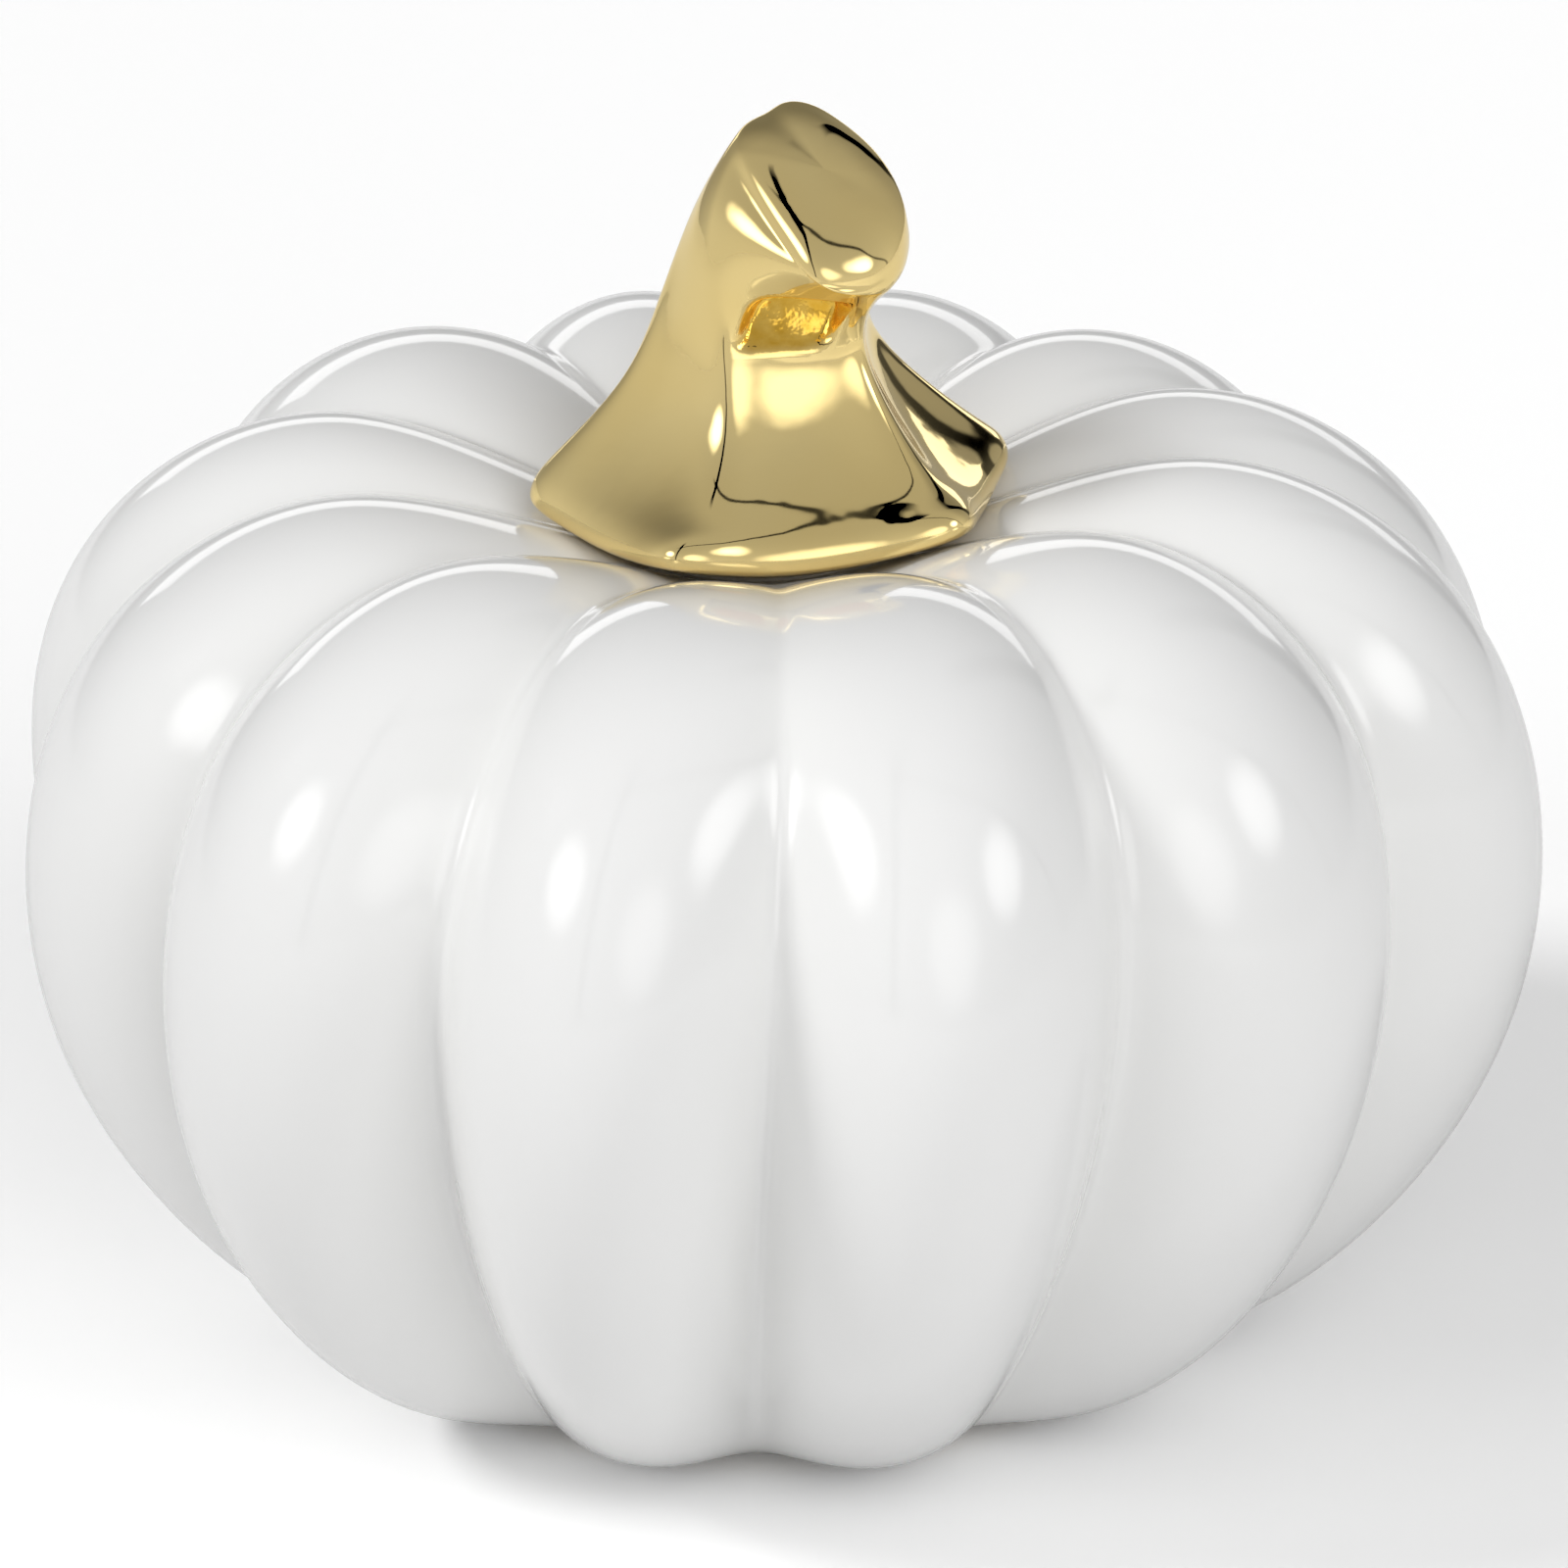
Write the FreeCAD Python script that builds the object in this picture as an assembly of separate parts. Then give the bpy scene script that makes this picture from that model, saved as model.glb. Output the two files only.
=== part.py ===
"""Ceramic pumpkin figure: a hollow twelve-lobed glazed body with a gold stalk set in its crown.

Millimetres, +Z up, front is -Y. The origin is on the surface that the figure stands on, under the
middle of its foot. One STEP file is written for each separate piece.
"""
import FreeCAD, Part
import math
import os

Vec = FreeCAD.Vector

# ---- body: driving dimensions -------------------------------------------------------------
LOBES = 12
PAD_THICKNESS = 1.2
FOOT_Z = PAD_THICKNESS                 # the dry foot ring stands on the pads
SEAT_Z = 81.0                          # flat seat round the crown hole
SEAT_R = 13.0
WALL = 5.0                             # slip-cast wall, measured along the crest's normal
# crest profile (radius, height) from the crown seat over the shoulder down to the foot
CREST_POLES = [(SEAT_R, SEAT_Z), (25.5, 86.2), (42.6, 94.4), (68.5, 81.4),
               (78.0, 54.8), (70.6, 22.6), (48.4, FOOT_Z), (38.0, FOOT_Z)]
# poles of the grooves' depth below the crest, crown to foot
GROOVE_DEPTHS = [0.0, 2.0, 4.8, 7.5, 12.8, 6.4, 0.0]
LOBE_ARC = 40.0                        # half angle of the arc that a lobe's section follows, degrees
GROOVE_ROUND = 0.10                    # twice the share of a groove's depth that the glaze fills
TWIST = 3.5                            # the grooves lean this much either way of the middle, degrees
MID_Z = 43.0                           # a fuller lobe grows away from this height
HEIGHT_SHARE = 0.5                     # and by this share of what it grows in radius
# hand-modelled irregularity: groove angle offsets in degrees, shares of the groove depth kept at the
# crown and lobe fullness, from the back (180 degrees from the front) and round by the left, front and right
GROOVE_SHIFTS = [-1, -3, 1.5, 1, 3, 3, 0.5, 0, 1, 0.5, -2, -4]
GROOVE_SHARES = [1, 1, 1, 1, 1, 0.8, 0.4, 0.8, 1, 1, 1, 1]
CROWN_END = 0.46                       # along the profile, where every groove has its full depth
CROWN_FADE = 0.22                      # and the stretch above it over which the shares fade in
LOBE_FULLNESS = [1.005, 1.03, 1.0, 0.975, 1.0, 0.98, 0.99, 0.985, 1.015, 0.995, 0.99, 1.0]

COLUMNS_PER_LOBE = 12                  # surface poles round each lobe
ROWS = 30                              # surface poles from crown to foot

# ---- body: openings -----------------------------------------------------------------------
CROWN_HOLE_R = 10.5
VENT_R = 4.0
RECESS_R = 26.0                        # the base is hollowed inside the foot ring
RECESS_DEPTH = 2.0
CUT_PAST = 1.0                         # a cut runs this far past the face that it opens
PAD_R = 4.5
PAD_CIRCLE_R = 32.0
PAD_COUNT = 4
FIRST_PAD_ANGLE = 45.0                 # midway between the right side and the back, degrees

# ---- stem ---------------------------------------------------------------------------------
SPIGOT_R = 10.0
SPIGOT_BOTTOM_Z = 73.0
SPIGOT_TOP_Z = SEAT_Z + 2.0            # inside the stalk, so that the two are one casting
SEAT_GAP = 0.5                         # cement bed between the crown seat and the stem
BED_R = SEAT_R - 0.5                   # the cement stops short of the seat's edge
RIM_HEIGHT = 1.5                       # from the glaze up to the widest line of the skirt
LIP_SHARE = 0.28                       # the lip lies this far along from the rim to the skirt
LIP_RISE = 0.9                         # and this much above the line between them
RIM_END = 0.3                          # along the crest profile, outside the stem's rim
SEARCH_STEPS = 40                      # halvings that find the crest's height at a radius
# The five ridges, each from the skirt's corner through skirt, waist, neck, shoulder and head to
# the edge of the cut end. The rim's height is worked out from the crown that it lies on.
RIDGES = {
    "front_right": [(18.8, -17.2, 87.2), (15.9, -13.9, 90.8), (12.3, -10.2, 96.6),
                    (9.7, -7.8, 102.6), (10.2, -9.2, 107.0), (11.4, -11.2, 109.0), (9.7, -12.0, 110.2)],
    "right_back": [(23.9, 6.4, 87.2), (21.0, 5.6, 90.9), (15.0, 4.3, 96.2),
                   (10.5, 3.6, 102.0), (11.8, 1.0, 107.4), (14.2, -2.2, 111.4), (14.1, -4.6, 114.2)],
    "back": [(-2.0, 23.0, 87.0), (-1.5, 17.2, 91.5), (-0.5, 11.8, 98.0),
             (1.0, 9.0, 106.0), (2.8, 8.2, 113.0), (5.0, 6.4, 118.0), (7.1, 2.4, 122.0)],
    "left": [(-22.6, -1.8, 86.8), (-19.0, -1.5, 91.5), (-13.0, -1.2, 98.0),
             (-9.7, -0.8, 105.2), (-7.2, -0.5, 111.3), (-4.2, 0.2, 117.2), (0.7, 2.0, 122.3)],
    "front_left": [(-8.4, -21.0, 85.9), (-5.4, -16.4, 89.9), (-2.9, -11.5, 96.0),
                   (-3.5, -9.0, 103.6), (-3.8, -7.8, 110.2), (-3.2, -6.4, 115.6), (-1.8, -4.2, 119.0)],
}
# how far each face sinks in behind its two ridges (or swells out, below zero) at each level
FACE_SINK = [-0.4, 1.0, 1.2, 0.2, -0.7, -1.2, -1.5]
LEFT_SINK = [-0.4, -0.4, -0.8, -0.8, -0.9, -1.2, -1.5]
QUARTER_SINK = 0.75                    # share of that sink a quarter of the way in from each ridge
# the same for the front face, at a quarter, a half and three quarters of the way across
FRONT_SINK = [(0.6, 0.8, 0.6), (0.8, 0.9, 0.5), (0.6, 0.6, 0.2), (0.0, 0.0, 0.0),
              (-1.3, -1.8, -1.6), (-2.1, -3.1, -3.3), (-1.9, -3.0, -3.6)]
FACE_STEPS = 4                         # surface poles from one ridge to the next
CAP_RINGS = [(0.93, 0.9), (0.75, 1.7), (0.45, 2.3), (0.12, 2.5)]     # (share of the outline, bulge)
UNDER_RINGS = [(0.80, 0.5), (0.955, 0.4)]                   # (share of the rim, height over the glaze)
# a scooped hollow in the front face, under the lip of the cut end
DENT_CENTRE = (2.9, -9.8, 105.4)
DENT_RADII = (4.8, 3.8, 2.9)


# ---- curves and surfaces --------------------------------------------------------------------
def clamped_knots(count):
    """Distinct knots and multiplicities of a clamped cubic with this many poles."""
    spans = count - 3
    return [i / spans for i in range(spans + 1)], [4] + [1] * (spans - 1) + [4]


def profile_curve(points):
    """The clamped uniform cubic through a list of (radius, height) poles."""
    knots, mults = clamped_knots(len(points))
    curve = Part.BSplineCurve()
    curve.buildFromPolesMultsKnots([Vec(r, 0, z) for r, z in points], mults, knots, False, 3)
    return curve


def sharpened(before, here, after):
    """A pole moved so that the cubic surface passes through its point instead of inside it."""
    return here - (before - here * 2 + after) * (1 / 6)


def ring_surface(rings):
    """A cubic surface through rings of points, closed round each ring and open across them."""
    across = []
    for ring in rings:
        n = len(ring)
        across.append([sharpened(ring[i - 1], ring[i], ring[(i + 1) % n]) for i in range(n)])
    poles = [across[0]]
    for below, here, above in zip(across, across[1:], across[2:]):
        poles.append([sharpened(a, b, c) for a, b, c in zip(below, here, above)])
    poles.append(across[-1])
    columns = len(poles[0])
    v_knots, v_mults = clamped_knots(len(poles))
    by_column = [[row[i] for row in poles] for i in range(columns)]
    surface = Part.BSplineSurface()
    surface.buildFromPolesMultsKnots(by_column, [1] * (columns + 1), v_mults,
                                     [float(i) for i in range(columns + 1)], v_knots, True, False, 3, 3)
    return surface


def closed_tube(surface):
    """The solid between a ring surface and the flat discs that close its two ends."""
    side = surface.toShape()
    ends = []
    for v in surface.bounds()[2:]:
        rim = surface.vIso(v).toShape()
        ends.append(Part.Face(Part.Wire([rim])))
    shell = Part.makeShell([side] + ends)
    shell.sewShape()
    solid = Part.makeSolid(Part.Shell(shell.Faces))
    if solid.Volume < 0:
        solid.reverse()
    return solid


def revolved(points):
    """The solid of revolution about Z of a closed (radius, height) outline."""
    outline = [Vec(r, 0, z) for r, z in points]
    face = Part.Face(Part.makePolygon(outline + outline[:1]))
    return face.revolve(Vec(0, 0, 0), Vec(0, 0, 1), 360)


def disc(radius, bottom, top):
    return Part.makeCylinder(radius, top - bottom, Vec(0, 0, bottom))


# ---- body -----------------------------------------------------------------------------------
CREST = profile_curve(CREST_POLES)
DEPTH = profile_curve([(depth, 0) for depth in GROOVE_DEPTHS])


def lobe_arc(u):
    """Height of a lobe's section above its groove: 1 on the crest (u = 0), 0 in the groove."""
    half = math.radians(LOBE_ARC)
    inside = max(1 - (u * math.sin(half)) ** 2, 0.0)
    return (math.sqrt(inside) - math.cos(half)) / (1 - math.cos(half))


def lobe_height(u):
    """The lobe's arc, rounded into its neighbour's where the glaze fills the groove."""
    own, other = lobe_arc(abs(u)), lobe_arc(2 - abs(u))
    return 0.5 * (own + other + math.sqrt((own - other) ** 2 + GROOVE_ROUND ** 2))


def groove_angle(index, t):
    around = index % LOBES
    turn = 360 * (index - around) / LOBES
    return -180 + 360 / LOBES * around + turn + GROOVE_SHIFTS[around] - TWIST * (2 * t - 1)


def body_ring(t, inset):
    """Points round the body at t (0 crown, 1 foot), on the skin or inset by the wall."""
    crest = CREST.value(t)
    along = CREST.tangent(t)[0]
    outward = Vec(-along.z, 0, along.x)
    depth = DEPTH.value(t).x
    skin = crest - outward * inset
    if inset and t in (0.0, 1.0):      # the cavity's flat ends lie one wall inside the seat and foot
        skin = Vec(crest.x, 0, crest.z - math.copysign(inset, 0.5 - t))
    even = (2 * t - 1) ** 4            # 1 at the crown and the foot, where every lobe is alike
    fade = min(max((CROWN_END - t) / CROWN_FADE, 0), 1)
    on_crown = fade * fade * (3 - 2 * fade)
    ring = []
    for lobe in range(LOBES):
        own = LOBE_FULLNESS[lobe]
        left = (own + LOBE_FULLNESS[lobe - 1]) / 2
        right = (own + LOBE_FULLNESS[(lobe + 1) % LOBES]) / 2
        start, stop = groove_angle(lobe, t), groove_angle(lobe + 1, t)
        for step in range(COLUMNS_PER_LOBE):
            w = step / COLUMNS_PER_LOBE
            rise = lobe_height(2 * w - 1)
            fullness = own * rise + (1 - rise) * (left * (1 - w) + right * w)
            fullness = 1 + (fullness - 1) * (1 - even)
            share = 1 - (1 - GROOVE_SHARES[lobe if w < 0.5 else (lobe + 1) % LOBES]) * on_crown
            point = skin - outward * (depth * share * (1 - rise))
            radius = point.x * fullness
            height = MID_Z + (point.z - MID_Z) * (1 + (fullness - 1) * HEIGHT_SHARE)
            angle = math.radians(start + (stop - start) * w)
            ring.append(Vec(radius * math.sin(angle), -radius * math.cos(angle), height))
    return ring


def body_solid(inset):
    return closed_tube(ring_surface([body_ring(i / (ROWS - 1), inset) for i in range(ROWS)]))


def make_body_shell():
    """The glazed shell with its cavity, crown hole, hollowed base and vent."""
    body = body_solid(0).cut(body_solid(WALL))
    body = body.cut(disc(CROWN_HOLE_R, SEAT_Z - 2 * WALL, SEAT_Z + CUT_PAST))
    body = body.cut(revolved([(0, 0), (RECESS_R, 0), (RECESS_R, FOOT_Z),
                              (RECESS_R - RECESS_DEPTH, FOOT_Z + RECESS_DEPTH), (0, FOOT_Z + RECESS_DEPTH)]))
    return body.cut(disc(VENT_R, 0, FOOT_Z + 2 * WALL))


def make_foot_pad(index):
    """One round felt pad under the foot ring."""
    angle = math.radians(FIRST_PAD_ANGLE + 360 / PAD_COUNT * index)
    centre = Vec(PAD_CIRCLE_R * math.cos(angle), PAD_CIRCLE_R * math.sin(angle), 0)
    return Part.makeCylinder(PAD_R, PAD_THICKNESS, centre)


# ---- stem -----------------------------------------------------------------------------------
def crown_height(radius):
    """Height of the lobes' crests at this radius, inside the crown."""
    low, high = 0.0, RIM_END
    for _ in range(SEARCH_STEPS):
        middle = (low + high) / 2
        if CREST.value(middle).x < radius:
            low = middle
        else:
            high = middle
    return CREST.value(low).z


def over_crown(point, share, lift):
    """A rim point drawn in towards the axis and laid just over the crown."""
    x, y = point.x * share, point.y * share
    return Vec(x, y, crown_height(math.hypot(x, y)) + lift)


def face_row(start, end, middle, sinks):
    """Points from one ridge to the next, sunk towards the ring's middle between them."""
    inward = middle - (start + end) * 0.5
    inward.normalize()
    return [start + (end - start) * (step / FACE_STEPS) + inward * sink for step, sink in enumerate(sinks)]


def stem_rings():
    names = list(RIDGES)
    rings = []
    for level in range(len(FACE_SINK)):
        corners = [Vec(*RIDGES[name][level]) for name in names]
        middle = sum(corners, Vec()) * (1 / len(corners))
        ring = []
        for index, name in enumerate(names):
            deepest = (LEFT_SINK if name == "left" else FACE_SINK)[level]
            sinks = [0, deepest * QUARTER_SINK, deepest, deepest * QUARTER_SINK]
            if name == "front_left":
                sinks = [0, *FRONT_SINK[level]]
            ring += face_row(corners[index], corners[(index + 1) % len(corners)], middle, sinks)
        rings.append(ring)
    rim = [over_crown(p, 1, RIM_HEIGHT) for p in rings[0]]
    lip = [p + (q - p) * LIP_SHARE + Vec(0, 0, LIP_RISE) for p, q in zip(rim, rings[1])]
    under = [[over_crown(p, share, lift) for p in rim] for share, lift in UNDER_RINGS]
    seat = [Vec(SEAT_R * p.x / math.hypot(p.x, p.y), SEAT_R * p.y / math.hypot(p.x, p.y), SEAT_Z + SEAT_GAP)
            for p in rim]
    return [seat] + under + [rim, lip] + rings[1:]


def cap_rings(edge):
    """Rings that close the cut end in a low dome; the last one is flat."""
    middle = sum(edge, Vec()) * (1 / len(edge))
    normal = Vec()
    for index in range(0, len(edge), FACE_STEPS):
        normal += (edge[index] - middle).cross(edge[(index + FACE_STEPS) % len(edge)] - middle)
    normal.normalize()
    rings = [[middle + (p - middle) * share + normal * bulge for p in edge] for share, bulge in CAP_RINGS]
    top = middle + normal * CAP_RINGS[-1][1]
    rings[-1] = [p - normal * (p - top).dot(normal) for p in rings[-1]]
    return rings


def dent_scoop():
    """The ellipsoid whose surface is the floor of the front dent."""
    scale = FreeCAD.Matrix()
    scale.scale(*DENT_RADII)
    scoop = Part.makeSphere(1).transformGeometry(scale)
    scoop.translate(Vec(*DENT_CENTRE))
    return scoop


def make_stem():
    """The gold stalk, pressed solid, with its locating spigot."""
    rings = stem_rings()
    stalk = closed_tube(ring_surface(rings + cap_rings(rings[-1]))).cut(dent_scoop())
    return stalk.fuse(disc(SPIGOT_R, SPIGOT_BOTTOM_Z, SPIGOT_TOP_Z)).removeSplitter()


def make_stem_cement():
    """Epoxy between the spigot and the crown hole, and under the stem's seat."""
    return revolved([(SPIGOT_R, SEAT_Z - WALL), (CROWN_HOLE_R, SEAT_Z - WALL), (CROWN_HOLE_R, SEAT_Z),
                     (BED_R, SEAT_Z), (BED_R, SEAT_Z + SEAT_GAP), (SPIGOT_R, SEAT_Z + SEAT_GAP)])


# ---- files ------------------------------------------------------------------------------------
def main():
    pieces = {"body_shell": make_body_shell(), "stem": make_stem(), "stem_cement": make_stem_cement()}
    for index in range(PAD_COUNT):
        pieces[f"foot_pad_{index + 1}"] = make_foot_pad(index)
    os.makedirs("parts", exist_ok=True)
    for name, shape in pieces.items():
        box = shape.BoundBox
        print(f"{name}: {len(shape.Solids)} solid, valid {shape.isValid()}, {shape.Volume / 1000:.1f} cm3, "
              f"x {box.XMin:.1f}..{box.XMax:.1f}, y {box.YMin:.1f}..{box.YMax:.1f}, "
              f"z {box.ZMin:.1f}..{box.ZMax:.1f}")
        shape.exportStep(f"parts/{name}.step")


main()
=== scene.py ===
import math

import bpy
import numpy as np
from mathutils import Matrix, Vector


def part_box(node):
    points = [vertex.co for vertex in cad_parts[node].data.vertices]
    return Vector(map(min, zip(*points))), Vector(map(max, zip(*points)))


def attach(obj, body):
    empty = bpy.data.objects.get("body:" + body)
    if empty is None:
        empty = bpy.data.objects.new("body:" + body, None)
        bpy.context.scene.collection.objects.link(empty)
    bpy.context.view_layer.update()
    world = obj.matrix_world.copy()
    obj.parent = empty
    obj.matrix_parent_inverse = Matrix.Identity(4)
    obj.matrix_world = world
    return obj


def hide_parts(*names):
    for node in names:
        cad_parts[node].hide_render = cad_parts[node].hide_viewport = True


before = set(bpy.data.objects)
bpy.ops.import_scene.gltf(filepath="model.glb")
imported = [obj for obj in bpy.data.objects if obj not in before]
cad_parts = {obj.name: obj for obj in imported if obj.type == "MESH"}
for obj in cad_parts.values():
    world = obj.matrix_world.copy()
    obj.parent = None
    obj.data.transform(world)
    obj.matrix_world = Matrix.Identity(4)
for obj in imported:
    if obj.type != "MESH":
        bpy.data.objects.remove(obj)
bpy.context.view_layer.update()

# Ceramic pumpkin figure: a glazed twelve-lobed body and a gold stalk, in the CAD frame: +Z up, front
# towards -Y, origin on the surface that it stands on. Shapes are worked out in millimetres.
MM = 0.001

# ---- places taken from the frame -----------------------------------------------------------
body_low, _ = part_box("body_shell")
cement_low, cement_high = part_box("stem_cement")
stem_low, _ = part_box("stem")
pad_low, pad_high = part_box("foot_pad_1")
FOOT_Z = body_low.z / MM                                  # the dry foot ring stands on the pads
SEAT_GAP = 0.5                                            # cement bed under the stalk
SEAT_Z = cement_high.z / MM - SEAT_GAP                    # flat seat round the crown hole
WALL = SEAT_Z - cement_low.z / MM
SPIGOT_BOTTOM = stem_low.z / MM
PAD_THICKNESS = pad_high.z / MM
PAD_R = (pad_high.x - pad_low.x) / 2 / MM

# ---- body: the same design as the CAD shell, with softer grooves (millimetres) -------------
LOBES = 12
SEAT_R = 13.0
CROWN_HOLE_R = 10.5
# crest profile (radius, height) from the crown seat over the shoulder down to the foot
CREST_POLES = [(SEAT_R, SEAT_Z), (25.5, 86.2), (42.6, 94.4), (68.5, 81.4),
               (78.0, 54.8), (70.6, 22.6), (48.4, FOOT_Z), (38.0, FOOT_Z)]
GROOVE_DEPTHS = [0.0, 2.0, 4.8, 7.5, 12.8, 6.4, 0.0]       # poles of the depth, crown to foot
LOBE_ARC = 40.0                                           # half angle of a lobe's section, degrees
GROOVE_ROUND = 0.30                                       # how widely the glaze rounds a groove
TWIST = 3.5                                               # lean of the grooves, degrees
MID_Z = 43.0                                              # a fuller lobe grows away from this height
HEIGHT_SHARE = 0.5                                        # by this share of its growth in radius
# hand-modelled irregularity of each lobe, from the back and round by the left, front and right
GROOVE_SHIFTS = [-1, -3, 1.5, 1, 3, 3, 0.5, 0, 1, 0.5, -2, -4]
GROOVE_SHARES = [1, 1, 1, 1, 1, 0.8, 0.4, 0.8, 1, 1, 1, 1]
CROWN_END = 0.46                                          # along the profile, where every groove is full
CROWN_FADE = 0.22                                         # and the stretch above it where they fade
LOBE_FULLNESS = [1.005, 1.03, 1.0, 0.975, 1.0, 0.98, 0.99, 0.985, 1.015, 0.995, 0.99, 1.0]
VENT_R = 4.0
RECESS_R = 26.0
RECESS_DEPTH = 2.0
COLUMNS_PER_LOBE = 32
COLUMN_CROWDING = 0.3                                     # how far the columns crowd towards the grooves
SKIN_ROWS = 110
CAVITY_ROWS = 28

# ---- stem: ridge lines from the skirt's corners up to the cut end (millimetres) ------------
SPIGOT_R = 10.0
RIM_HEIGHT = 1.5                                          # of the skirt's widest line over the glaze
LIP_SHARE = 0.28                                          # the lip's place between rim and skirt
LIP_RISE = 0.9
RIM_END = 0.3                                             # along the crest profile, outside the rim
RIM_SAMPLES = 400
RIDGES = {
    "front_right": [(18.8, -17.2, 87.2), (15.9, -13.9, 90.8), (12.3, -10.2, 96.6),
                    (9.7, -7.8, 102.6), (10.2, -9.2, 107.0), (11.4, -11.2, 109.0), (9.7, -12.0, 110.2)],
    "right_back": [(23.9, 6.4, 87.2), (21.0, 5.6, 90.9), (15.0, 4.3, 96.2),
                   (10.5, 3.6, 102.0), (11.8, 1.0, 107.4), (14.2, -2.2, 111.4), (14.1, -4.6, 114.2)],
    "back": [(-2.0, 23.0, 87.0), (-1.5, 17.2, 91.5), (-0.5, 11.8, 98.0),
             (1.0, 9.0, 106.0), (2.8, 8.2, 113.0), (5.0, 6.4, 118.0), (7.1, 2.4, 122.0)],
    "left": [(-22.6, -1.8, 86.8), (-19.0, -1.5, 91.5), (-13.0, -1.2, 98.0),
             (-9.7, -0.8, 105.2), (-7.2, -0.5, 111.3), (-4.2, 0.2, 117.2), (0.7, 2.0, 122.3)],
    "front_left": [(-8.4, -21.0, 85.9), (-5.4, -16.4, 89.9), (-2.9, -11.5, 96.0),
                   (-3.5, -9.0, 103.6), (-3.8, -7.8, 110.2), (-3.2, -6.4, 115.6), (-1.8, -4.2, 119.0)],
}
# how far each face sinks in behind its two ridges (or swells out, below zero) at each level
FACE_SINK = [-0.4, 1.0, 1.2, 0.2, -0.7, -1.2, -1.5]
LEFT_SINK = [-0.4, -0.4, -0.8, -0.8, -0.9, -1.2, -1.5]
# the same for the front face, at a quarter, a half and three quarters of the way across
FRONT_SINK = [(0.6, 0.8, 0.6), (0.8, 0.9, 0.5), (0.6, 0.6, 0.2), (0.0, 0.0, 0.0),
              (-1.3, -1.8, -1.6), (-2.1, -3.1, -3.3), (-1.9, -3.0, -3.6)]
FACE_STEPS = 4                                            # cage points from one ridge to the next
CAP_RINGS = [(0.93, 0.9), (0.75, 1.7), (0.45, 2.3), (0.12, 2.5), (0.0, 2.5)]    # (share, bulge)
UNDER_RINGS = [(0.80, 0.5), (0.955, 0.4)]                 # (share of the rim, height over the glaze)
STEM_COLUMNS = 240
STEM_ROWS = 200
DENT_CENTRE = (3.1, 105.3)                                # pit under the lip of the cut end, x and z
DENT_HALF = (4.8, 3.0)
DENT_LEAN = 0.45
DENT_DEPTH = 4.2                                          # at its top; the floor slopes out to the shelf
DENT_EDGE = 1.08                                          # where its wall starts, in half-widths
DENT_WALL = 0.36                                          # and how wide the wall is


# ---- curves and surfaces --------------------------------------------------------------------
def cubic_basis(count, t):
    """Weights of the poles of a clamped uniform cubic at each parameter in t."""
    spans = count - 3
    knots = np.concatenate([np.zeros(3), np.arange(spans + 1) / spans, np.ones(3)])
    t = np.clip(np.asarray(t, float), 0.0, 1.0 - 1e-12)[:, None]
    weights = ((knots[:-1] <= t) & (t < knots[1:])).astype(float)
    for degree in range(1, 4):
        left_span = knots[degree:-1] - knots[:-degree - 1]
        right_span = knots[degree + 1:] - knots[1:-degree]
        left = np.divide(t - knots[:-degree - 1], left_span, where=left_span > 0,
                         out=np.zeros((len(t), len(left_span))))
        right = np.divide(knots[degree + 1:] - t, right_span, where=right_span > 0,
                          out=np.zeros((len(t), len(right_span))))
        weights = left * weights[:, :-1] + right * weights[:, 1:]
    return weights


def profile(poles, t):
    poles = np.array(poles, float)
    return cubic_basis(len(poles), t) @ poles


def sharpened(points, axis, closed):
    """Poles whose cubic surface passes through these points instead of inside them."""
    before, after = np.roll(points, 1, axis), np.roll(points, -1, axis)
    poles = points - (before - 2 * points + after) / 6
    if not closed:
        poles[0], poles[-1] = points[0], points[-1]
    return poles


def closed_cubic(points, count):
    """Evenly spaced points on the closed uniform cubic of each row of poles."""
    columns = points.shape[1]
    at = np.arange(count) * columns / count
    index = np.floor(at).astype(int)
    f = (at - index)[None, :, None]
    pick = [points[:, (index + k) % columns] for k in (-1, 0, 1, 2)]
    return ((1 - f) ** 3 * pick[0] + (3 * f ** 3 - 6 * f ** 2 + 4) * pick[1]
            + (-3 * f ** 3 + 3 * f ** 2 + 3 * f + 1) * pick[2] + f ** 3 * pick[3]) / 6


def circle_ring(radius, height, angles):
    return np.stack([radius * np.sin(angles), -radius * np.cos(angles), np.full(len(angles), height)], -1)


# ---- meshes ----------------------------------------------------------------------------------
def tube_mesh(name, rings, materials=None, loop=False, zones=None):
    """A quad mesh through rings of equal length; rings of zero size become one shared point."""
    rings = np.array(rings) * MM
    count = rings.shape[1]
    points, index = [], []
    for ring in rings:
        small = np.ptp(ring, axis=0).max() < 1e-7
        start = len(points)
        if small:
            points.append(ring[0])
            index.append(np.full(count, start))
        else:
            points.extend(ring)
            index.append(np.arange(start, start + count))
    pairs = list(zip(index, index[1:] + index[:1])) if loop else list(zip(index, index[1:]))
    faces, zone = [], []
    for row, (low, high) in enumerate(pairs):
        for i in range(count):
            j = (i + 1) % count
            corners = [low[i], low[j], high[j], high[i]]
            face = [int(c) for k, c in enumerate(corners) if c != corners[k - 1]]
            if len(face) > 2:
                faces.append(face)
                zone.append(row)
    mesh = bpy.data.meshes.new(name)
    mesh.from_pydata([tuple(p) for p in points], [], faces)
    mesh.update()
    if zones is not None:
        mesh.polygons.foreach_set("material_index", [zones[z] for z in zone])
    mesh.polygons.foreach_set("use_smooth", [True] * len(faces))
    for material in materials or []:
        mesh.materials.append(material)
    piece = bpy.data.objects.new(name, mesh)
    bpy.context.scene.collection.objects.link(piece)
    return piece, index


def store(piece, name, values):
    """Keeps one number for each vertex, for the materials to read."""
    layer = piece.data.attributes.new(name, "FLOAT", "POINT")
    layer.data.foreach_set("value", np.asarray(values, np.float32))


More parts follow.
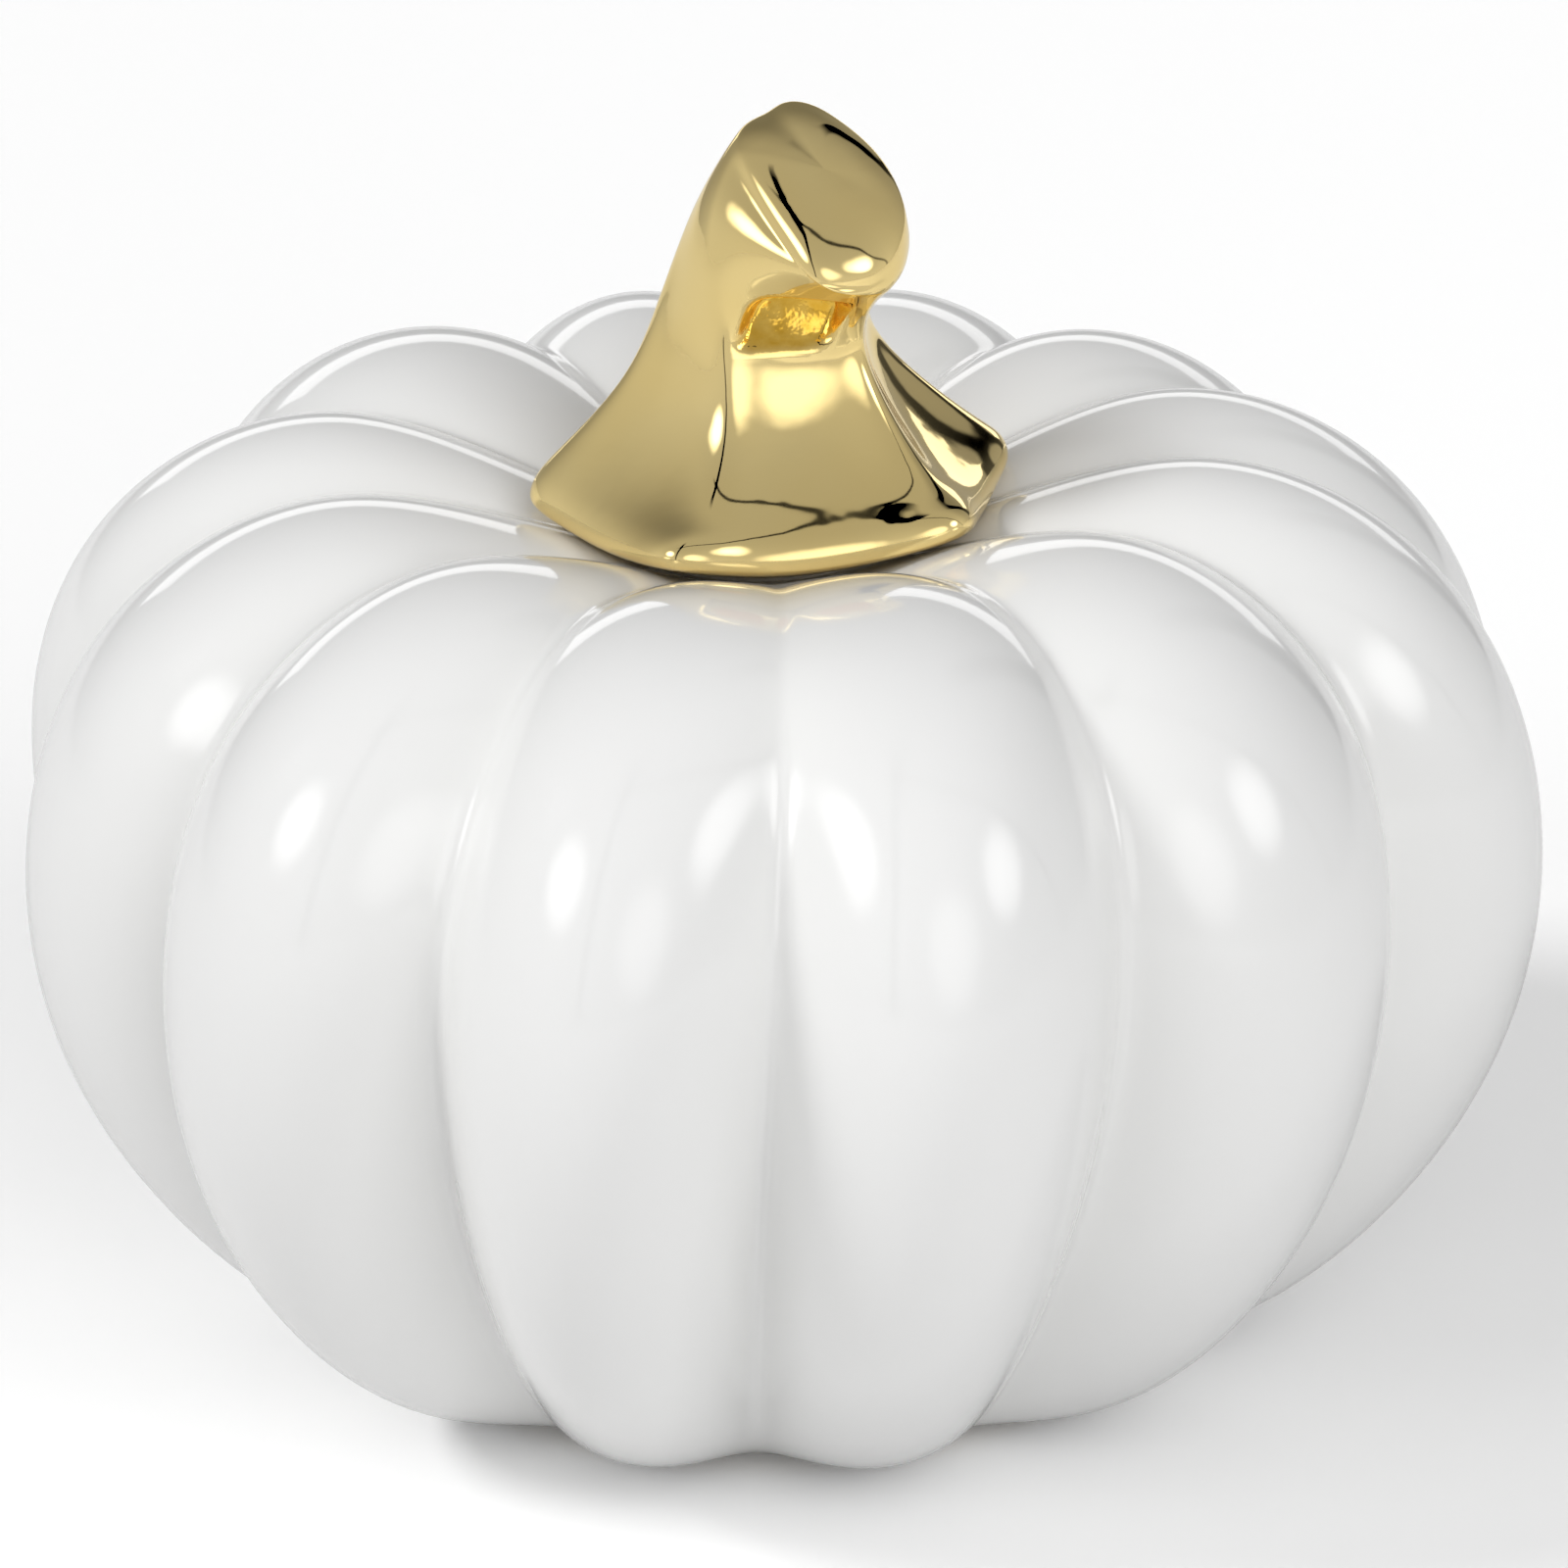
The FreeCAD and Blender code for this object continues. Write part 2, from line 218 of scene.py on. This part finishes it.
# ---- body ------------------------------------------------------------------------------------
def lobe_arc(u):
    """Height of one lobe's arc: 1 on its crest (u = 0), 0 in its grooves."""
    half = math.radians(LOBE_ARC)
    inside = np.maximum(1 - (u * math.sin(half)) ** 2, 0)
    return (np.sqrt(inside) - math.cos(half)) / (1 - math.cos(half))


def lobe_height(u):
    """The lobe's arc, rolled smoothly into its neighbour's: 1 on the crest, 0 in the groove."""
    def rolled(own, other):
        return 0.5 * (own + other + np.sqrt((own - other) ** 2 + GROOVE_ROUND ** 2))
    soft = rolled(lobe_arc(np.abs(u)), lobe_arc(2 - np.abs(u)))
    floor, crest = rolled(0.0, 0.0), rolled(1.0, lobe_arc(2.0))
    return (soft - floor) / (crest - floor)


def groove_angle(index, t):
    """Where a groove lies, in degrees from the front, at t along the profile."""
    around = index % LOBES
    turn = 360 * (index - around) / LOBES
    return -180 + 360 / LOBES * around + turn + GROOVE_SHIFTS[around] - TWIST * (2 * t - 1)


def body_rings(rows, inset):
    """Rings of the body from crown to foot, on the skin or inset by the wall."""
    t = np.linspace(0, 1, rows)
    crest = profile(CREST_POLES, t)
    fine = profile(CREST_POLES, np.clip(t + 1e-4, 0, 1)) - profile(CREST_POLES, np.clip(t - 1e-4, 0, 1))
    along = fine / np.linalg.norm(fine, axis=1)[:, None]
    outward = np.stack([-along[:, 1], along[:, 0]], 1)
    depth = profile([(d, 0) for d in GROOVE_DEPTHS], t)[:, 0]
    skin = crest - outward * inset
    if inset:
        skin[0], skin[-1] = crest[0] - (0, inset), crest[-1] + (0, inset)
    even = (2 * t - 1) ** 4                               # 1 at crown and foot, where lobes are alike
    fade = np.clip((CROWN_END - t) / CROWN_FADE, 0, 1)
    on_crown = fade * fade * (3 - 2 * fade)
    even_steps = np.arange(COLUMNS_PER_LOBE) / COLUMNS_PER_LOBE
    w = even_steps - COLUMN_CROWDING * np.sin(2 * np.pi * even_steps) / (2 * np.pi)
    rise = lobe_height(2 * w - 1)
    parts, rises = [], []
    for lobe in range(LOBES):
        own = LOBE_FULLNESS[lobe]
        left = (own + LOBE_FULLNESS[lobe - 1]) / 2
        right = (own + LOBE_FULLNESS[(lobe + 1) % LOBES]) / 2
        fullness = own * rise + (1 - rise) * (left * (1 - w) + right * w)
        fullness = 1 + (fullness[None] - 1) * (1 - even)[:, None]
        start, stop = groove_angle(lobe, t)[:, None], groove_angle(lobe + 1, t)[:, None]
        angle = np.radians(start + (stop - start) * w[None])
        share = np.where(w < 0.5, GROOVE_SHARES[lobe], GROOVE_SHARES[(lobe + 1) % LOBES])
        share = 1 - (1 - share)[None] * on_crown[:, None]
        point = skin[:, None] - outward[:, None] * (depth[:, None] * share * (1 - rise)[None])[..., None]
        radius = point[..., 0] * fullness
        height = MID_Z + (point[..., 1] - MID_Z) * (1 + (fullness - 1) * HEIGHT_SHARE)
        parts.append(np.stack([radius * np.sin(angle), -radius * np.cos(angle), height], -1))
        rises.append(np.broadcast_to(rise, (rows, COLUMNS_PER_LOBE)))
    return np.concatenate(parts, 1), np.concatenate(rises, 1)


def make_body(glaze, bisque):
    """One closed skin: over the lobes, under the foot, up the vent, and back through the cavity."""
    skin, rise = body_rings(SKIN_ROWS, 0)
    cavity, _ = body_rings(CAVITY_ROWS, WALL)
    angles = np.arctan2(skin[-1][:, 0], -skin[-1][:, 1])
    roof, floor = FOOT_Z + RECESS_DEPTH, FOOT_Z + WALL
    base = [(37.0, FOOT_Z), (32.0, FOOT_Z), (RECESS_R + 0.8, FOOT_Z), (RECESS_R + 0.1, FOOT_Z + 0.3),
            (RECESS_R - 0.8, FOOT_Z + 1.4), (RECESS_R - 2.2, roof), (16.0, roof), (VENT_R + 0.8, roof),
            (VENT_R + 0.2, roof + 0.2), (VENT_R, roof + 0.8), (VENT_R, floor - 0.4), (VENT_R + 0.4, floor),
            (14.0, floor), (28.0, floor)]
    seat_turn = np.arctan2(skin[0][:, 0], -skin[0][:, 1])
    crown = [(CROWN_HOLE_R, SEAT_Z - WALL), (CROWN_HOLE_R, SEAT_Z - 0.6), (CROWN_HOLE_R + 0.5, SEAT_Z)]
    rings = list(skin)
    rings += [circle_ring(r, z, angles) for r, z in base]
    rings += list(cavity[::-1])
    rings += [circle_ring(r, z, seat_turn) for r, z in crown]
    zones = [0] * (SKIN_ROWS - 2) + [1] * (len(rings) - SKIN_ROWS - len(crown) + 2) + [1] * len(crown)
    piece, index = tube_mesh("pumpkin_body", rings, [glaze, bisque], loop=True, zones=zones)
    piece.data.flip_normals()                             # the rings run from the crown down
    # mask of the grooves, where the glaze is made whiter: pooled glaze plus painted light lifting their shade
    pooled_and_painted_light = np.zeros(len(piece.data.vertices))
    for row in range(SKIN_ROWS):
        pooled_and_painted_light[index[row]] = 1 - rise[row]
    store(piece, "groove", pooled_and_painted_light)
    return piece


# ---- stem ------------------------------------------------------------------------------------
def crown_height(radius):
    """Height of the lobes' crests at this radius, inside the crown."""
    t = np.linspace(0, RIM_END, RIM_SAMPLES)
    crest = profile(CREST_POLES, t)
    return np.interp(radius, crest[:, 0], crest[:, 1])


def over_crown(ring, share, lift):
    """A rim drawn in towards the axis and laid just over the crown."""
    drawn = ring.copy()
    drawn[:, :2] *= share
    drawn[:, 2] = crown_height(np.hypot(drawn[:, 0], drawn[:, 1])) + lift
    return drawn


def stem_cage():
    """Rings of cage points: seat, underside, rim, then up the ridges and over the cut end."""
    names = list(RIDGES)
    share = np.arange(FACE_STEPS) / FACE_STEPS
    rings = []
    for level in range(len(FACE_SINK)):
        corners = np.array([RIDGES[name][level] for name in names])
        middle = corners.mean(0)
        ring = []
        for i, name in enumerate(names):
            start, end = corners[i], corners[(i + 1) % len(names)]
            inward = middle - (start + end) / 2
            inward /= np.linalg.norm(inward)
            deepest = (LEFT_SINK if name == "left" else FACE_SINK)[level]
            dip = deepest * 4 * share * (1 - share)       # a parabola, deepest halfway across
            if name == "front_left":
                dip = np.array([0, *FRONT_SINK[level]])
            ring.append(start + (end - start) * share[:, None] + inward * dip[:, None])
        rings.append(np.concatenate(ring))
    rim = over_crown(rings[0], 1, RIM_HEIGHT)
    lip = rim + (rings[1] - rim) * LIP_SHARE + (0, 0, LIP_RISE)
    seat = rim.copy()
    seat[:, :2] *= SEAT_R / np.hypot(rim[:, 0], rim[:, 1])[:, None]
    seat[:, 2] = SEAT_Z + SEAT_GAP
    under = [over_crown(rim, s, lift) for s, lift in UNDER_RINGS]
    edge = rings[-1]
    middle = edge.mean(0)
    spokes = edge[::FACE_STEPS] - middle
    normal = np.cross(spokes, np.roll(spokes, -1, 0)).sum(0)
    normal /= np.linalg.norm(normal)
    caps = [middle + (edge - middle) * s + normal * bulge for s, bulge in CAP_RINGS]
    return np.array([seat] + under + [rim, lip] + rings[1:] + caps)


def dented(points):
    """Sinks a leaning, square-cornered pit into the front, and returns how deep each point went."""
    up = (points[..., 2] - DENT_CENTRE[1]) / DENT_HALF[1]
    across = (points[..., 0] - DENT_CENTRE[0] - DENT_LEAN * (points[..., 2] - DENT_CENTRE[1])) / DENT_HALF[0]
    edge = (across ** 4 + up ** 4) ** 0.25
    fall = np.clip((DENT_EDGE - edge) / DENT_WALL, 0, 1)
    share = np.where(points[..., 1] < 0, fall * fall * (3 - 2 * fall), 0)
    depth = DENT_DEPTH * share * (0.5 + 0.5 * np.clip(up, -1, 1))
    return points + depth[..., None] * (0, 1, 0), share


def make_stem(gold, bisque):
    """The stalk: an unglazed spigot below, then the gold skin from the seat over the cut end."""
    cage = sharpened(sharpened(stem_cage(), 1, True), 0, False)
    closed = closed_cubic(cage, STEM_COLUMNS)
    basis = cubic_basis(len(cage), np.linspace(0, 1, STEM_ROWS))
    side, dent = dented(np.einsum("rk,kcx->rcx", basis, closed))
    turn = np.arctan2(side[0][:, 0], -side[0][:, 1])
    spigot = [(0.0, SPIGOT_BOTTOM), (SPIGOT_R / 2, SPIGOT_BOTTOM), (SPIGOT_R - 0.8, SPIGOT_BOTTOM),
              (SPIGOT_R - 0.2, SPIGOT_BOTTOM + 0.3), (SPIGOT_R, SPIGOT_BOTTOM + 1.0),
              (SPIGOT_R, SEAT_Z + SEAT_GAP)]
    rings = [circle_ring(r, z, turn) for r, z in spigot] + list(side)
    zones = [1] * (len(spigot) - 1) + [0] * STEM_ROWS
    piece, index = tube_mesh("pumpkin_stem", rings, [gold, bisque], zones=zones)
    pitted = np.zeros(len(piece.data.vertices))
    for row, share in zip(index[len(spigot):], dent):
        pitted[row] = share
    store(piece, "dent", pitted)
    return piece


# ---- materials -------------------------------------------------------------------------------
class Nodes:
    """A new node material with its main shader."""

    def __init__(self, name, **sockets):
        self.material = bpy.data.materials.new(name)
        self.material.use_nodes = True
        self.tree = self.material.node_tree
        self.shader = self.tree.nodes["Principled BSDF"]
        for key, value in sockets.items():
            self.shader.inputs[key.replace("_", " ")].default_value = value

    def add(self, kind, **inputs):
        node = self.tree.nodes.new(kind)
        for key, value in inputs.items():
            node.inputs[key.replace("_", " ")].default_value = value
        return node

    def link(self, source, target):
        self.tree.links.new(source, target)


MIX_A, MIX_B, MIX_COLOUR = 6, 7, 2                        # the mix node's colour sockets


def mixed(nodes, factor, first, second):
    """A mix of two colours, each a socket or a plain value."""
    node = nodes.tree.nodes.new("ShaderNodeMix")
    node.data_type = "RGBA"
    nodes.link(factor, node.inputs["Factor"])
    for socket, colour in ((MIX_A, first), (MIX_B, second)):
        if isinstance(colour, tuple):
            node.inputs[socket].default_value = colour
        else:
            nodes.link(colour, node.inputs[socket])
    return node.outputs[MIX_COLOUR]


def stored(nodes, name):
    """A number kept on the mesh by store()."""
    node = nodes.tree.nodes.new("ShaderNodeAttribute")
    node.attribute_name = name
    return node.outputs["Fac"]


def object_space(nodes):
    return nodes.add("ShaderNodeTexCoord").outputs["Object"]


def noise(nodes, scale, detail=2.0, roughness=0.5):
    node = nodes.add("ShaderNodeTexNoise", Scale=scale, Detail=detail, Roughness=roughness)
    nodes.link(object_space(nodes), node.inputs["Vector"])
    return node.outputs["Fac"]


def ramp(nodes, factor, stops):
    node = nodes.tree.nodes.new("ShaderNodeValToRGB")
    while len(node.color_ramp.elements) < len(stops):
        node.color_ramp.elements.new(0.5)
    for element, (place, colour) in zip(node.color_ramp.elements, stops):
        element.position = place
        element.color = (*colour, 1.0)
    nodes.link(factor, node.inputs["Fac"])
    return node.outputs["Color"]


def bump(nodes, height, distance, strength=1.0, under=None):
    node = nodes.add("ShaderNodeBump", Strength=strength, Distance=distance)
    nodes.link(height, node.inputs["Height"])
    if under is not None:
        nodes.link(under, node.inputs["Normal"])
    return node.outputs["Normal"]


def glaze_material():
    """White glaze under a clear coat, faintly mottled, and whiter in the grooves: partly pooled glaze, partly
    painted light that lifts the shade falling in them.
    """
    nodes = Nodes("white_glaze", Roughness=0.12, IOR=1.52, Coat_Weight=0.6, Coat_Roughness=0.03, Coat_IOR=1.5)
    mottled = noise(nodes, scale=22.0, detail=3.0)
    tint = ramp(nodes, mottled, [(0.3, (0.72, 0.72, 0.715)), (0.7, (0.745, 0.745, 0.74))])
    # painted light: the grooves' glaze is set whiter than the lobes', partly for pooled glaze and partly to
    # lift the shade in the grooves
    pooled_and_painted_light = mixed(nodes, stored(nodes, "groove"), tint, (0.77, 0.77, 0.76, 1))
    nodes.link(pooled_and_painted_light, nodes.shader.inputs["Base Color"])
    ripple = bump(nodes, noise(nodes, scale=60.0, detail=1.0), distance=0.00006)
    nodes.link(ripple, nodes.shader.inputs["Normal"])
    return nodes.material


def bisque_material():
    """Bare fired clay, for the foot, the cavity and the spigot."""
    nodes = Nodes("dry_foot", Roughness=0.85)
    clay = noise(nodes, scale=300.0, detail=5.0)
    nodes.link(ramp(nodes, clay, [(0.35, (0.66, 0.62, 0.55)), (0.7, (0.76, 0.73, 0.67))]),
               nodes.shader.inputs["Base Color"])
    grit = bump(nodes, noise(nodes, scale=1400.0, detail=3.0), distance=0.0001)
    nodes.link(grit, nodes.shader.inputs["Normal"])
    return nodes.material


def gold_material():
    """Bright lustre: mirror gloss over a hand-smoothed form, orange peel where it pooled in the dent, and a
    deeper orange painted in the dent as the gold's reflection of itself.
    """
    nodes = Nodes("gold_lustre", Metallic=1.0, Roughness=0.06)
    dent = stored(nodes, "dent")
    plain = ramp(nodes, noise(nodes, scale=70.0), [(0.3, (0.95, 0.735, 0.31)), (0.7, (0.98, 0.78, 0.36))])
    # painted reflection: the dent's deeper orange stands in for the gold reflecting itself in the hollow
    pooled_and_painted_light = ramp(nodes, noise(nodes, scale=700.0, detail=3.0),
                  [(0.3, (0.80, 0.46, 0.05)), (0.7, (0.93, 0.60, 0.12))])
    nodes.link(mixed(nodes, dent, plain, pooled_and_painted_light), nodes.shader.inputs["Base Color"])
    peel = nodes.tree.nodes.new("ShaderNodeMath")
    peel.operation = "MULTIPLY"
    nodes.link(dent, peel.inputs[0])
    nodes.link(noise(nodes, scale=900.0), peel.inputs[1])
    form = bump(nodes, noise(nodes, scale=110.0, detail=1.5), distance=0.00012)
    fine = bump(nodes, noise(nodes, scale=420.0, detail=1.0), distance=0.00002, under=form)
    nodes.link(bump(nodes, peel.outputs[0], distance=0.0001, under=fine), nodes.shader.inputs["Normal"])
    return nodes.material


def epoxy_material():
    """Cream epoxy, cloudy and slightly lumpy."""
    nodes = Nodes("epoxy", Roughness=0.35)
    nodes.link(ramp(nodes, noise(nodes, scale=400.0), [(0.3, (0.74, 0.70, 0.60)), (0.7, (0.80, 0.77, 0.68))]),
               nodes.shader.inputs["Base Color"])
    lumps = bump(nodes, noise(nodes, scale=500.0), distance=0.0001)
    nodes.link(lumps, nodes.shader.inputs["Normal"])
    return nodes.material


def felt_material():
    """Pale wool felt with a fibrous surface."""
    nodes = Nodes("felt", Roughness=0.95, Sheen_Weight=0.4, Sheen_Roughness=0.5)
    fibres = noise(nodes, scale=2200.0, detail=4.0, roughness=0.7)
    nodes.link(ramp(nodes, fibres, [(0.3, (0.62, 0.61, 0.58)), (0.7, (0.80, 0.79, 0.76))]),
               nodes.shader.inputs["Base Color"])
    nap = bump(nodes, noise(nodes, scale=3000.0, detail=4.0, roughness=0.7), distance=0.0002)
    nodes.link(nap, nodes.shader.inputs["Normal"])
    return nodes.material


# ---- felt pads -------------------------------------------------------------------------------
PAD_COLUMNS = 72
PAD_FIT = 0.99                                            # just inside the CAD pad


def make_pad(index, felt):
    """A die-cut felt dot: soft cut edge, slightly uneven outline."""
    low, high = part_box(f"foot_pad_{index}")
    centre = (low + high) / 2
    turns = np.linspace(0, 2 * np.pi, PAD_COLUMNS, endpoint=False)
    # (share of the radius, share of the thickness), from the middle of the top to that of the underside
    outline = [(0.0, 1.0), (0.5, 1.0), (0.93, 1.0), (0.98, 0.86), (1.0, 0.55), (0.985, 0.18),
               (0.93, 0.0), (0.5, 0.0), (0.0, 0.0)]
    wobble = 1 + 0.006 * np.sin(5 * turns + index) + 0.004 * np.sin(13 * turns + 2 * index)
    rings = []
    for share, height in outline:
        radius = PAD_R * share * (wobble if share > 0.9 else 1) * PAD_FIT
        rings.append(np.stack([centre.x / MM + radius * np.cos(turns), centre.y / MM + radius * np.sin(turns),
                               np.full(len(turns), height * PAD_THICKNESS)], -1))
    piece, _ = tube_mesh(f"felt_pad_{index}", [ring[::-1] for ring in rings], [felt])
    return piece


# ---- studio ----------------------------------------------------------------------------------
CAMERA_DISTANCE = 0.674                                   # metres
CAMERA_ELEVATION = 24.0                                   # degrees, as are the next three
CAMERA_TILT = -0.92
CAMERA_PAN = 0.16
CAMERA_ROLL = -0.95
LENS = 156.9
SENSOR_WIDTH = 36.0


def make_camera():
    """A long lens that looks down on the front, slightly tilted, panned and rolled."""
    rise = math.radians(CAMERA_ELEVATION)
    target = Vector((0, 0, MID_Z * MM))
    place = target + CAMERA_DISTANCE * Vector((0, -math.cos(rise), math.sin(rise)))
    down, pan = math.radians(CAMERA_ELEVATION + CAMERA_TILT), math.radians(CAMERA_PAN)
    forward = Vector((math.sin(pan) * math.cos(down), math.cos(pan) * math.cos(down), -math.sin(down)))
    right = forward.cross(Vector((0, 0, 1))).normalized()
    up = right.cross(forward)
    roll = math.radians(CAMERA_ROLL)
    across = math.cos(roll) * right + math.sin(roll) * up
    above = math.cos(roll) * up - math.sin(roll) * right
    data = bpy.data.cameras.new("camera")
    data.lens = LENS
    data.sensor_width = SENSOR_WIDTH
    data.clip_start, data.clip_end = 0.01, 50.0
    camera = bpy.data.objects.new("camera", data)
    turn = Matrix((across, above, -forward)).transposed()
    camera.matrix_world = Matrix.Translation(place) @ turn.to_4x4()
    bpy.context.scene.collection.objects.link(camera)
    bpy.context.scene.camera = camera


# Soft round lights round the studio: azimuth from the front towards +X and elevation, half-width and
# width of the soft edge, all in degrees, then radiance.
SKY_LIGHTS = [(-53, 32, 2, 14, 2.5), (54, 31, 2, 14, 2.5), (12, 18, 6, 14, 1.0)]
# Dark seams between its panels, each in a plane: azimuth and elevation of the plane's normal, sine of
# the half-width, change in radiance, then the azimuth it shows towards, with its fade's start and end.
SKY_SEAMS = [(180, 22, 0.022, -0.45, 90, -0.4, -0.2),
             (63, 0, 0.050, -0.52, 0, 0.1, 0.3),
             (50, 0, 0.090, -0.28, 140, 0.3, 0.6)]
SKY_HORIZON = 0.66                                        # radiance between the lights
SKY_ZENITH = 0.45
SKY_BACK = 0.35
SKY_SEEN = 0.93                                           # the plain backdrop behind the figure
FLOOR_HALF = 6.0                                          # metres
FLOOR_SEEN = (0.97, 0.97, 0.97, 1)
FLOOR_BOUNCE = (0.80, 0.80, 0.80, 1)                      # its colour as it lights the figure
FLOOR_LIFT = 0.07                                         # keeps the floor near white without more bounce
SUN_ANGLE = 16                                            # degrees across, for a soft shadow edge
SUN_ENERGY = 1.40
FILL_SIZE = 1.2
FILL_ENERGY = 7.4
PANEL_SIZE = (2.2, 0.30)
PANEL_ENERGY = 2.5
LIGHT_DISTANCE = 1.6


def direction(azimuth, elevation):
    """The unit vector towards an azimuth from the front and an elevation, in degrees."""
    a, e = math.radians(azimuth), math.radians(elevation)
    return Vector((math.sin(a) * math.cos(e), -math.cos(a) * math.cos(e), math.sin(e)))


class Sky:
    """The world's shader: sums of soft fades over the direction of sight."""

    def __init__(self):
        world = bpy.data.worlds.new("studio")
        bpy.context.scene.world = world
        world.use_nodes = True
        self.tree = world.node_tree
        self.background = self.tree.nodes["Background"]
        self.background.inputs["Color"].default_value = (1, 1, 1, 1)
        self.sight = self.tree.nodes.new("ShaderNodeTexCoord").outputs["Generated"]

    def combine(self, operation, first, second=None):
        node = self.tree.nodes.new("ShaderNodeMath")
        node.operation = operation
        self.tree.links.new(first, node.inputs[0])
        if second is not None:
            self.tree.links.new(second, node.inputs[1])
        return node.outputs[0]

    def along(self, axis):
        dot = self.tree.nodes.new("ShaderNodeVectorMath")
        dot.operation = "DOT_PRODUCT"
        self.tree.links.new(self.sight, dot.inputs[0])
        dot.inputs[1].default_value = axis
        return dot.outputs["Value"]

    def fade(self, value, start, stop, low, high):
        node = self.tree.nodes.new("ShaderNodeMapRange")
        node.interpolation_type = "SMOOTHSTEP"
        self.tree.links.new(value, node.inputs["Value"])
        for socket, number in zip(("From Min", "From Max", "To Min", "To Max"), (start, stop, low, high)):
            node.inputs[socket].default_value = number
        return node.outputs["Result"]


def make_world():
    """A dim studio, darker behind, with soft round lights and dark seams between its panels."""
    sky = Sky()
    light = sky.fade(sky.along((0, 0, 1)), 0.0, 1.0, SKY_HORIZON, SKY_ZENITH)
    light = sky.combine("ADD", light, sky.fade(sky.along((0, 1, 0)), -0.1, 0.8, 0.0, SKY_BACK - SKY_HORIZON))
    for azimuth, elevation, inner, edge, radiance in SKY_LIGHTS:
        outer = math.cos(math.radians(inner + edge))
        spot = sky.along(direction(azimuth, elevation))
        light = sky.combine("ADD", light, sky.fade(spot, outer, math.cos(math.radians(inner)), 0, radiance))
    for azimuth, elevation, width, radiance, side, start, stop in SKY_SEAMS:
        off_plane = sky.combine("ABSOLUTE", sky.along(direction(azimuth, elevation)))
        shown = sky.fade(sky.along(direction(side, 0)), start, stop, 0.0, 1.0)
        light = sky.combine("ADD", light, sky.combine("MULTIPLY", shown,
                                                sky.fade(off_plane, 0.5 * width, width, radiance, 0.0)))
    seen = sky.tree.nodes.new("ShaderNodeMix")
    rays = sky.tree.nodes.new("ShaderNodeLightPath")
    sky.tree.links.new(rays.outputs["Is Camera Ray"], seen.inputs["Factor"])
    sky.tree.links.new(light, seen.inputs["A"])
    seen.inputs["B"].default_value = SKY_SEEN
    sky.tree.links.new(seen.outputs["Result"], sky.background.inputs["Strength"])


def make_floor():
    """A plain pale floor that throws back less light than it shows."""
    nodes = Nodes("floor", Roughness=0.9, Emission_Color=(FLOOR_LIFT, FLOOR_LIFT, FLOOR_LIFT, 1))
    rays = nodes.tree.nodes.new("ShaderNodeLightPath")
    seen = rays.outputs["Is Camera Ray"]
    nodes.link(seen, nodes.shader.inputs["Emission Strength"])
    nodes.link(mixed(nodes, seen, FLOOR_BOUNCE, FLOOR_SEEN), nodes.shader.inputs["Base Color"])
    mesh = bpy.data.meshes.new("floor")
    corners = [(FLOOR_HALF * x, FLOOR_HALF * y, 0) for x, y in ((-1, -1), (1, -1), (1, 1), (-1, 1))]
    mesh.from_pydata(corners, [], [(0, 1, 2, 3)])
    mesh.materials.append(nodes.material)
    floor = bpy.data.objects.new("floor", mesh)
    bpy.context.scene.collection.objects.link(floor)


def aim_light(name, data, azimuth, elevation):
    """Places a light round the object, facing it."""
    light = bpy.data.objects.new(name, data)
    away = direction(azimuth, elevation)
    light.location = Vector((0, 0, MID_Z * MM)) + away * LIGHT_DISTANCE
    light.rotation_euler = away.to_track_quat("Z", "Y").to_euler()
    bpy.context.scene.collection.objects.link(light)
    return light


def make_lights():
    """A soft sun from the left for the shadow, a front fill, and a low panel behind for rim glints."""
    sun = bpy.data.lights.new("sun", "SUN")
    sun.angle = math.radians(SUN_ANGLE)
    sun.energy = SUN_ENERGY
    aim_light("sun", sun, azimuth=-84, elevation=42).visible_glossy = False
    fill = bpy.data.lights.new("front_fill", "AREA")
    fill.size = FILL_SIZE
    fill.energy = FILL_ENERGY
    aim_light("front_fill", fill, azimuth=28, elevation=36).visible_glossy = False
    panel = bpy.data.lights.new("back_panel", "AREA")
    panel.shape = "RECTANGLE"
    panel.size, panel.size_y = PANEL_SIZE
    panel.energy = PANEL_ENERGY
    aim_light("back_panel", panel, azimuth=180, elevation=17).visible_camera = False


# ---- assembly --------------------------------------------------------------------------------
def main():
    view = bpy.context.scene.view_settings
    view.view_transform = "Standard"
    make_camera()
    make_world()
    make_floor()
    make_lights()

    glaze, bisque, gold, felt = glaze_material(), bisque_material(), gold_material(), felt_material()
    body = make_body(glaze, bisque)
    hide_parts("body_shell")
    stem = make_stem(gold, bisque)
    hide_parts("stem")
    pieces = [body, stem]
    for index in range(1, 5):
        pad = make_pad(index, felt)
        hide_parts(f"foot_pad_{index}")
        pieces.append(pad)
    for piece in pieces:
        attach(piece, "root")
    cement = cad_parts["stem_cement"]
    cement.data.materials.clear()
    cement.data.materials.append(epoxy_material())


main()
